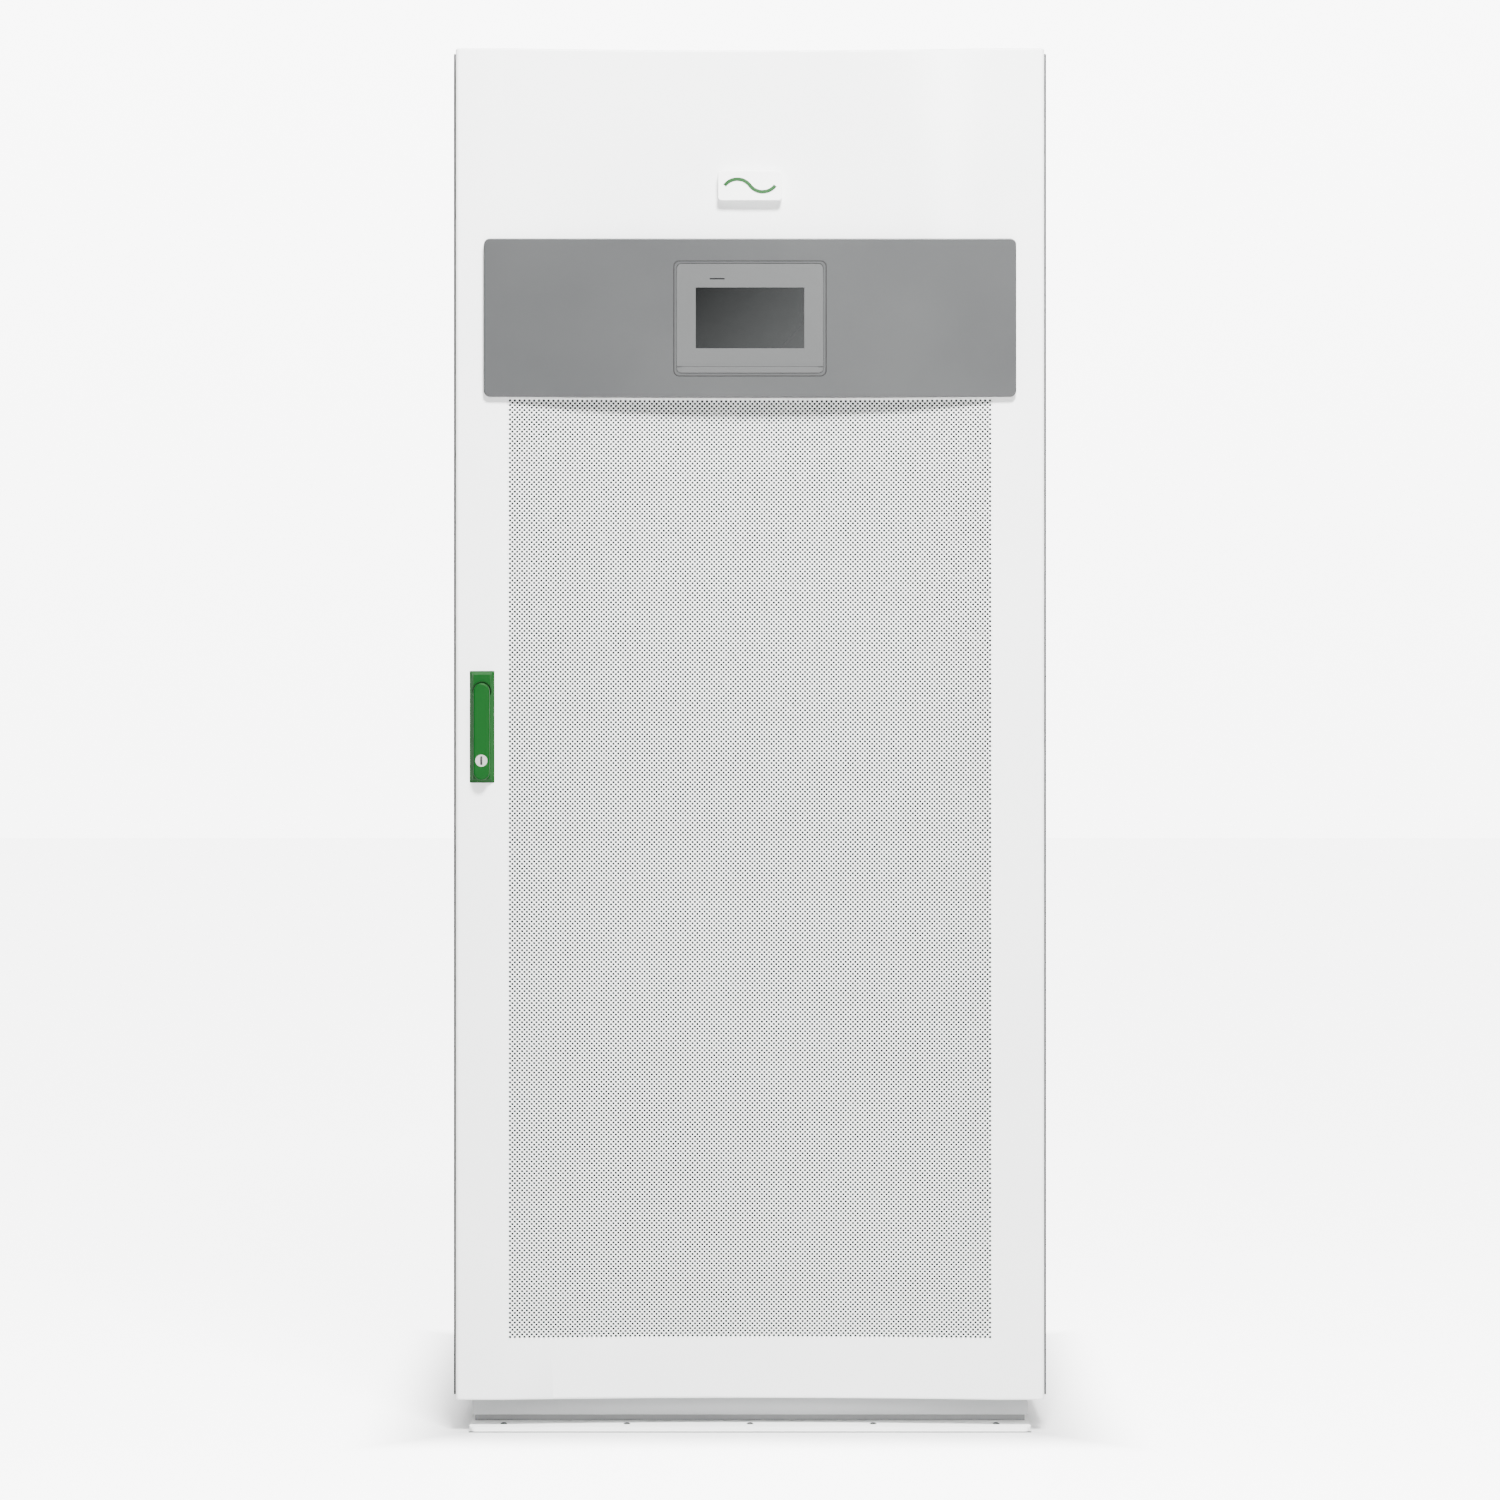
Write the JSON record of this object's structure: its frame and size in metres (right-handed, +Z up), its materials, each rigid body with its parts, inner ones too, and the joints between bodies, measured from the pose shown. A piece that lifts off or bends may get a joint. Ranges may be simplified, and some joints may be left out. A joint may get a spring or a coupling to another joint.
{
  "type": "floor-standing modular uninterruptible power supply cabinet",
  "caption": "Tall steel power cabinet with a concave perforated door, display fascia, rod-latched swing handle and plug-in modules inside.",
  "frame": {"origin": "middle of the footprint's bounding box, on the floor", "axes": "+Z up, the door faces -Y, +X to the right when facing the door"},
  "size_m": [0.85, 0.9424, 1.97],
  "materials": {
    "cabinet_paint": "fine-textured powder coat",
    "plinth_paint": "satin powder coat",
    "bracket_paint": "gloss powder coat",
    "zinc_steel": "zinc plated",
    "galvanised": "galvanised sheet",
    "fascia_plastic": "satin moulded",
    "bezel_plastic": "satin moulded",
    "screen_glass": "gloss, unlit display window",
    "lamp_lens": "clear light pipe",
    "badge_plastic": "gloss moulded",
    "green_plastic": "gloss moulded",
    "handle_paint": "die-cast, satin powder coat",
    "lock_metal": "plated die-cast",
    "filter_fabric": "non-woven mat",
    "black_plastic": "moulded",
    "breaker_plastic": "moulded",
    "copper": "bare copper bar",
    "insulator_resin": "cast resin",
    "heat_sink": "extruded",
    "module_paint": "satin powder coat"
  },
  "bodies": {
    "cabinet": {"side_panel_left": "cabinet_paint", "side_panel_right": "cabinet_paint", "rear_panel": "cabinet_paint", "roof_panel": "cabinet_paint", "gland_plate": "cabinet_paint", "roof_grille": "cabinet_paint", "base_frame": "plinth_paint", "posts_front": "plinth_paint", "posts_rear": "plinth_paint", "top_frame": "plinth_paint", "dead_front": "plinth_paint", "anchor_bracket_front": "bracket_paint", "anchor_bracket_rear": "bracket_paint", "levelling_feet": "zinc_steel", "bracket_bolts": "zinc_steel", "panel_screws": "zinc_steel", "latch_catches": "zinc_steel", "hinge_brackets": "zinc_steel", "bay_partition": "galvanised", "module_shelves": "galvanised", "mounting_plate": "galvanised", "fan_tray": "galvanised", "control_box": "galvanised", "breakers": "breaker_plastic", "busbars": "copper", "insulators": "insulator_resin", "module_cores": "heat_sink", "static_switch_module": "module_paint", "power_module_1": "module_paint", "power_module_2": "module_paint", "power_module_3": "module_paint", "power_module_4": "module_paint", "power_module_5": "module_paint", "power_module_6": "module_paint"},
    "door": {"door_skin": "cabinet_paint", "door_stiffeners": "galvanised", "filter_mat": "filter_fabric", "filter_bars": "galvanised", "fascia": "fascia_plastic", "display_bezel": "bezel_plastic", "display_screen": "screen_glass", "status_lamp": "lamp_lens", "badge": "badge_plastic", "badge_mark": "green_plastic", "handle_base": "handle_paint", "latch_case": "zinc_steel", "rod_guides": "black_plastic", "hinge_leaves": "zinc_steel", "hinge_pins": "zinc_steel"},
    "handle_pivot": {"handle_pivot": "zinc_steel"},
    "handle_lever": {"handle_lever": "handle_paint"},
    "lock_cylinder": {"lock_cylinder": "lock_metal"},
    "latch_rod_upper": {"latch_rod_upper": "zinc_steel"},
    "latch_rod_lower": {"latch_rod_lower": "zinc_steel"},
    "fan_left": {"fan_left": "black_plastic"},
    "fan_middle": {"fan_middle": "black_plastic"},
    "fan_right": {"fan_right": "black_plastic"},
    "toggle_input": {"toggle_input": "black_plastic"},
    "toggle_bypass": {"toggle_bypass": "black_plastic"},
    "toggle_output": {"toggle_output": "black_plastic"}
  },
  "joints": [
    {"name": "door_hinge", "type": "hinge", "parent": "cabinet", "child": "door", "pos_m": [0.407, -0.42875, 1.008], "axis": [0, 0, 1], "range_deg": [0, 110]},
    {"name": "handle_swing", "type": "hinge", "parent": "door", "child": "handle_pivot", "pos_m": [-0.3812, -0.45375, 1.0545], "axis": [0, -1, 0], "range_deg": [0, 90]},
    {"name": "handle_lift", "type": "hinge", "parent": "handle_pivot", "child": "handle_lever", "pos_m": [-0.3812, -0.46645, 1.0545], "axis": [-1, 0, 0], "range_deg": [0, 25]},
    {"name": "key_turn", "type": "hinge", "parent": "handle_lever", "child": "lock_cylinder", "pos_m": [-0.3812, -0.47125, 0.9559], "axis": [0, -1, 0], "range_deg": [0, 90]},
    {"name": "rod_upper_slide", "type": "slide", "parent": "door", "child": "latch_rod_upper", "axis": [0, 0, 1], "range_m": [-0.0201, 0]},
    {"name": "rod_lower_slide", "type": "slide", "parent": "door", "child": "latch_rod_lower", "axis": [0, 0, 1], "range_m": [0, 0.0201]},
    {"name": "fan_left_spin", "type": "hinge", "parent": "cabinet", "child": "fan_left", "pos_m": [-0.21, 0.10625, 1.8935], "axis": [0, 0, 1], "continuous": true},
    {"name": "fan_middle_spin", "type": "hinge", "parent": "cabinet", "child": "fan_middle", "pos_m": [0, 0.10625, 1.8935], "axis": [0, 0, 1], "continuous": true},
    {"name": "fan_right_spin", "type": "hinge", "parent": "cabinet", "child": "fan_right", "pos_m": [0.21, 0.10625, 1.8935], "axis": [0, 0, 1], "continuous": true},
    {"name": "toggle_output_throw", "type": "hinge", "parent": "cabinet", "child": "toggle_output", "pos_m": [0.2455, -0.35175, 1.009], "axis": [1, 0, 0], "range_deg": [0, 50]},
    {"name": "toggle_bypass_throw", "type": "hinge", "parent": "cabinet", "child": "toggle_bypass", "pos_m": [0.2455, -0.35175, 1.3045], "axis": [1, 0, 0], "range_deg": [0, 50]},
    {"name": "toggle_input_throw", "type": "hinge", "parent": "cabinet", "child": "toggle_input", "pos_m": [0.2455, -0.35175, 1.6], "axis": [1, 0, 0], "range_deg": [0, 50]}
  ],
  "couplings": [
    {"joint": "rod_upper_slide", "follows": "handle_swing", "m_per_rad": -0.012732},
    {"joint": "rod_lower_slide", "follows": "handle_swing", "m_per_rad": 0.012732}
  ]
}
